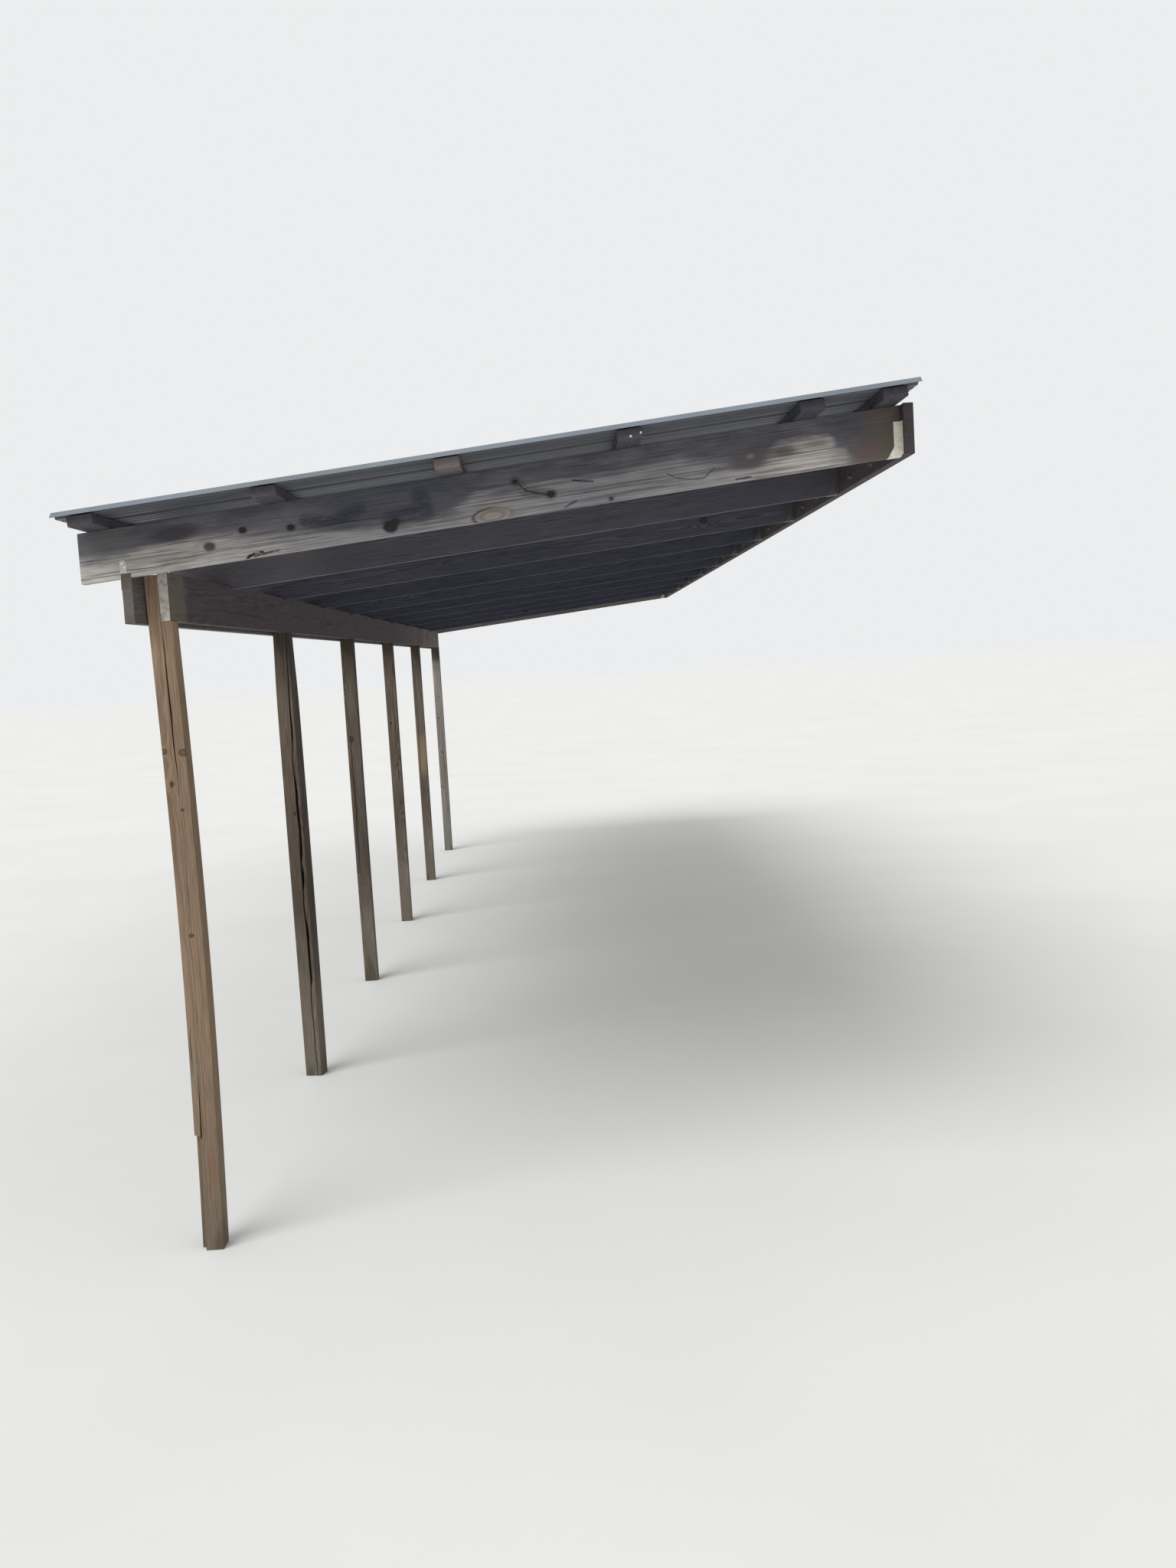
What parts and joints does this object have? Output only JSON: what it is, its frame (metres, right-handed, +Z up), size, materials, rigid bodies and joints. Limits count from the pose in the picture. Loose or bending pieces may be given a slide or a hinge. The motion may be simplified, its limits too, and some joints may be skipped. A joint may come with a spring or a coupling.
{
  "type": "lean-to carport",
  "caption": "Lean-to carport: timber posts with doubled beam, sloping rafters to a wall ledger, flat purlins and ribbed metal roof.",
  "frame": {"origin": "middle of the ledger's back face, on the wall", "axes": "+X into the wall, +Y along the wall, +Z up"},
  "size_m": [3.09, 12.6803, 3.1418],
  "materials": {
    "post_timber": "weathered treated pine",
    "beam_timber": "weathered, grey-brown",
    "rafter_timber": "weathered grey with mildew",
    "purlin_timber": "rough sawn, grey-brown",
    "roof_metal": "dull coated steel sheet",
    "galvanised_steel": "dull galvanised"
  },
  "bodies": {
    "root": {"post_1": "post_timber", "post_2": "post_timber", "post_3": "post_timber", "post_4": "post_timber", "post_5": "post_timber", "post_6": "post_timber", "outer_beam_1": "beam_timber", "outer_beam_2": "beam_timber", "outer_beam_3": "beam_timber", "inner_beam_1": "beam_timber", "inner_beam_2": "beam_timber", "inner_beam_3": "beam_timber", "ledger_1": "rafter_timber", "ledger_2": "rafter_timber", "ledger_3": "rafter_timber", "rafter_1": "rafter_timber", "rafter_2": "rafter_timber", "rafter_3": "rafter_timber", "rafter_4": "rafter_timber", "rafter_5": "rafter_timber", "rafter_6": "rafter_timber", "rafter_7": "rafter_timber", "rafter_8": "rafter_timber", "rafter_9": "rafter_timber", "rafter_10": "rafter_timber", "rafter_11": "rafter_timber", "purlin_1": "purlin_timber", "purlin_2": "purlin_timber", "purlin_3": "purlin_timber", "purlin_4": "purlin_timber", "purlin_5": "purlin_timber", "purlin_6": "purlin_timber", "roof_sheets_lower": "roof_metal", "roof_sheets_upper": "roof_metal", "rafter_hangers": "galvanised_steel", "rafter_ties": "galvanised_steel"}
  },
  "joints": []
}
